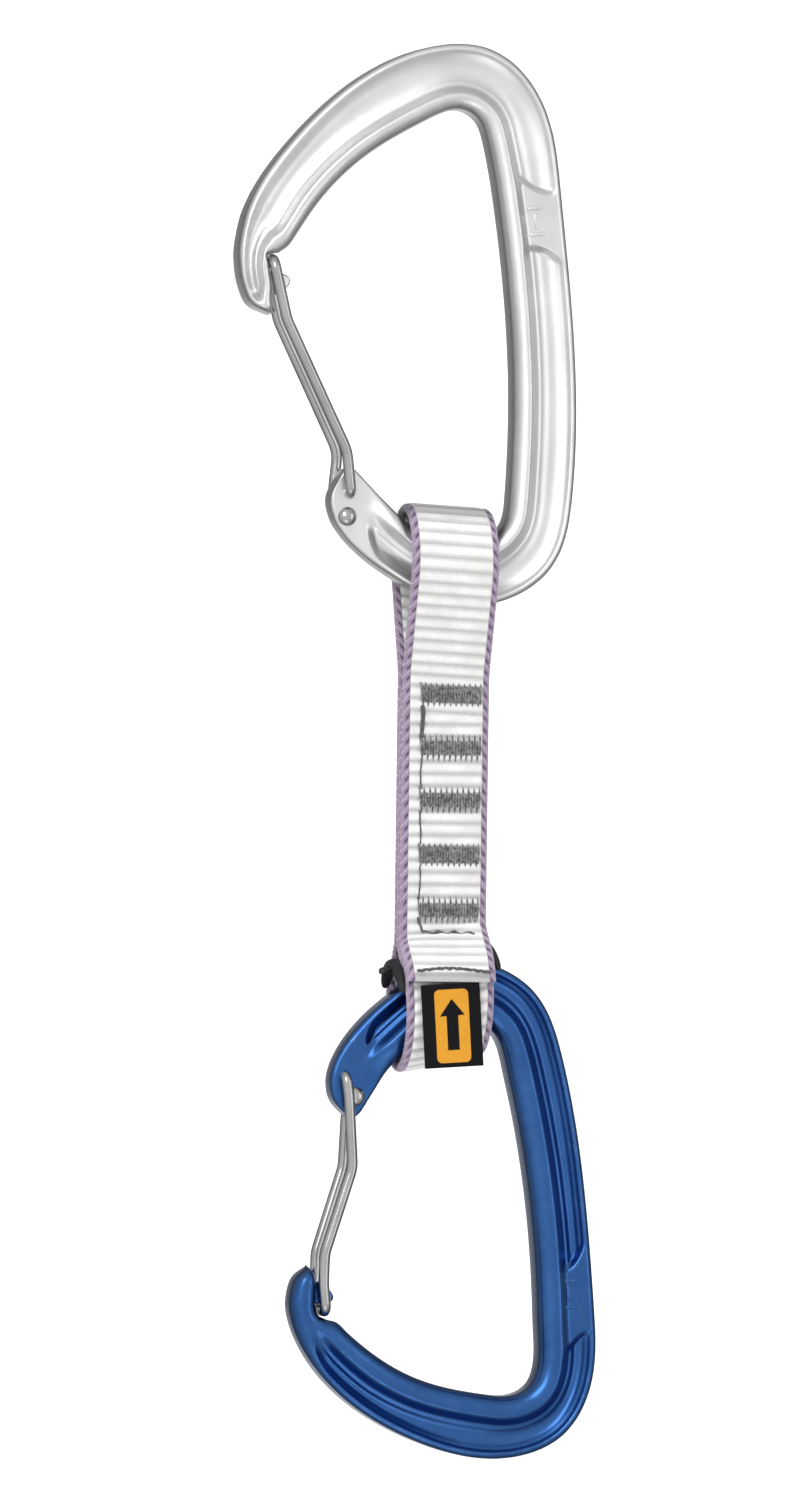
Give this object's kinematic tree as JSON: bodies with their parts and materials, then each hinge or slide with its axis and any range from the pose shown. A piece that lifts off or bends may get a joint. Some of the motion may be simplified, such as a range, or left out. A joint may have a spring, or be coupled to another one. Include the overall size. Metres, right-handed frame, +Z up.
{
  "type": "climbing quickdraw",
  "caption": "Climbing quickdraw: two asymmetric wire-gate carabiners with recessed bars, joined by a stiff bar-tacked webbing sling with a rubber keeper and a direction label.",
  "frame": {"origin": "centre of the upper carabiner's rounded hanger seat, halfway through its thickness", "axes": "+Z up, -Y the front face with the label, +X from the gates towards the spines; both carabiner frames lie about the plane y = 0"},
  "size_m": [0.0662, 0.023, 0.2572],
  "materials": {
    "silver_aluminium": "satin",
    "blue_anodised": "satin anodised",
    "gate_steel": "polished",
    "webbing": "ribbed weave with violet selvages",
    "bartack_thread": "zigzag stitching",
    "thread": "sewing thread",
    "keeper_rubber": "matte",
    "label_fabric": "woven, orange panel with a black arrow"
  },
  "bodies": {
    "upper_carabiner": {"upper_carabiner_frame": "silver_aluminium"},
    "upper_gate": {"upper_gate_wire": "gate_steel", "upper_gate_spring_leg": "gate_steel"},
    "sling": {"sling_webbing": "webbing", "bartack_1": "bartack_thread", "bartack_2": "bartack_thread", "bartack_3": "bartack_thread", "bartack_4": "bartack_thread", "bartack_5": "bartack_thread", "lockstitch_thread": "thread", "hem_stitches": "thread", "rubber_keeper": "keeper_rubber"},
    "label": {"direction_label": "label_fabric"},
    "lower_carabiner": {"lower_carabiner_frame": "blue_anodised"},
    "lower_gate": {"lower_gate_wire": "gate_steel", "lower_gate_spring_leg": "gate_steel"}
  },
  "joints": [
    {"name": "upper_gate_hinge", "type": "hinge", "parent": "upper_carabiner", "child": "upper_gate", "pos_m": [-0.01973, 0, -0.06377], "axis": [0, 1, 0], "range_deg": [0, 32], "stiffness_Nm_per_rad": 0.35, "springref_deg": -17.19, "deforming": ["upper_gate_spring_leg"]},
    {"name": "sling_swing", "type": "hinge", "parent": "upper_carabiner", "child": "sling", "pos_m": [-0.0014, 0, -0.0762], "axis": [0.9977, 0, -0.068], "range_deg": [-120, 120]},
    {"name": "lower_carabiner_swing", "type": "hinge", "parent": "sling", "child": "lower_carabiner", "pos_m": [-0.0025, 0, -0.15695], "axis": [0.9833, 0, 0.1822], "range_deg": [-80, 80]},
    {"name": "label_flap", "type": "hinge", "parent": "sling", "child": "label", "pos_m": [-0.0029, -0.01175, -0.1526], "axis": [-1, 0, 0], "range_deg": [0, 75]},
    {"name": "lower_gate_hinge", "type": "hinge", "parent": "lower_carabiner", "child": "lower_gate", "pos_m": [-0.01863, 0, -0.17315], "axis": [0, -1, 0], "range_deg": [0, 32], "stiffness_Nm_per_rad": 0.35, "springref_deg": -17.19, "deforming": ["lower_gate_spring_leg"]}
  ]
}
